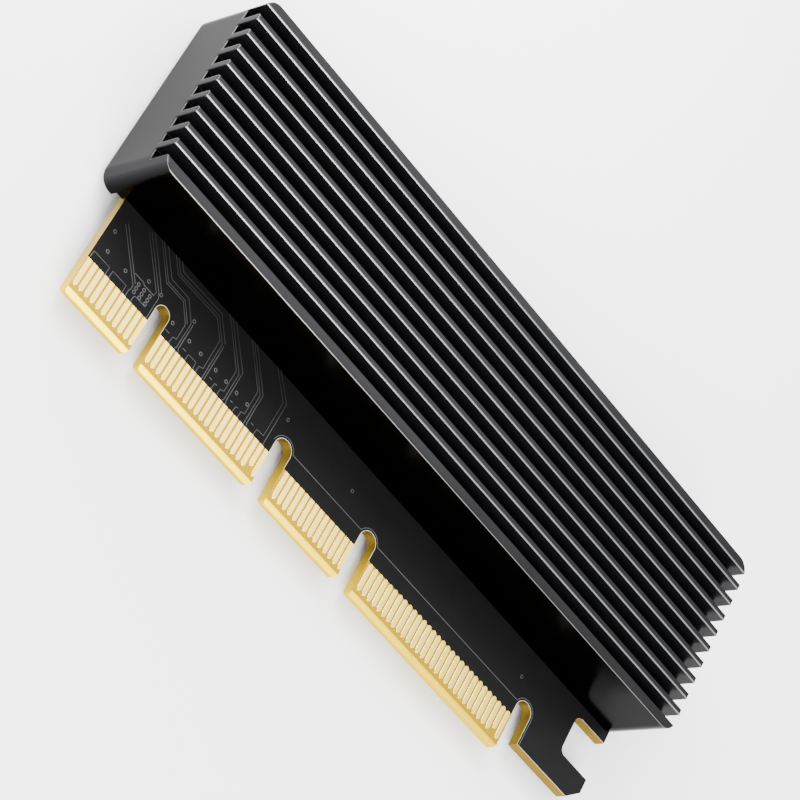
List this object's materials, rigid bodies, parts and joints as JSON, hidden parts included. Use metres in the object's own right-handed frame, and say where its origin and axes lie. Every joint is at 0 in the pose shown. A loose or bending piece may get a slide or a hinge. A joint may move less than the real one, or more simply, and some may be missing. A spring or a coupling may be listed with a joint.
{
  "type": "nvme adapter card",
  "caption": "Adapter card that carries an M.2 solid-state drive under a finned aluminium heatsink and plugs into a sixteen-lane expansion slot.",
  "frame": {"origin": "on the key notch's axis, at the tips of the connector's tongues, half way through the circuit board", "axes": "+X along the connector towards the latch tab, +Y away from the slot towards the card's top edge, +Z out of the component side towards the heatsink"},
  "size_m": [0.1042, 0.0426, 0.0129],
  "materials": {
    "board_mask": "black matt solder mask on glass-epoxy laminate, bare amber laminate at the tongues and edges",
    "gold_contact": "gold plate",
    "black_aluminium": "black anodised, satin",
    "silicone_pad": "soft silicone, matt",
    "socket_plastic": "black moulded, fine matt",
    "spring_metal": "gold flash over copper alloy",
    "tinned_tab": "tinned, dull",
    "standoff_metal": "nickel plated, satin",
    "screw_steel": "nickel plated",
    "tantalum_case": "dark moulded epoxy",
    "capacitor_ceramic": "fired ceramic, matt",
    "resistor_glaze": "black glaze"
  },
  "bodies": {
    "root": {"circuit_board": "board_mask", "component_side_contacts": "gold_contact", "solder_side_contacts": "gold_contact", "heatsink": "black_aluminium", "heatsink_screws": "screw_steel", "thermal_pad": "silicone_pad", "m2_socket_housing": "socket_plastic", "m2_upper_contacts": "spring_metal", "m2_lower_contacts": "spring_metal", "m2_solder_tabs": "tinned_tab", "ssd_standoff": "standoff_metal", "ssd_screw": "screw_steel", "standoff_screw": "screw_steel", "bulk_capacitors": "tantalum_case", "ceramic_capacitors": "capacitor_ceramic", "pull_up_resistors": "resistor_glaze"}
  },
  "joints": []
}
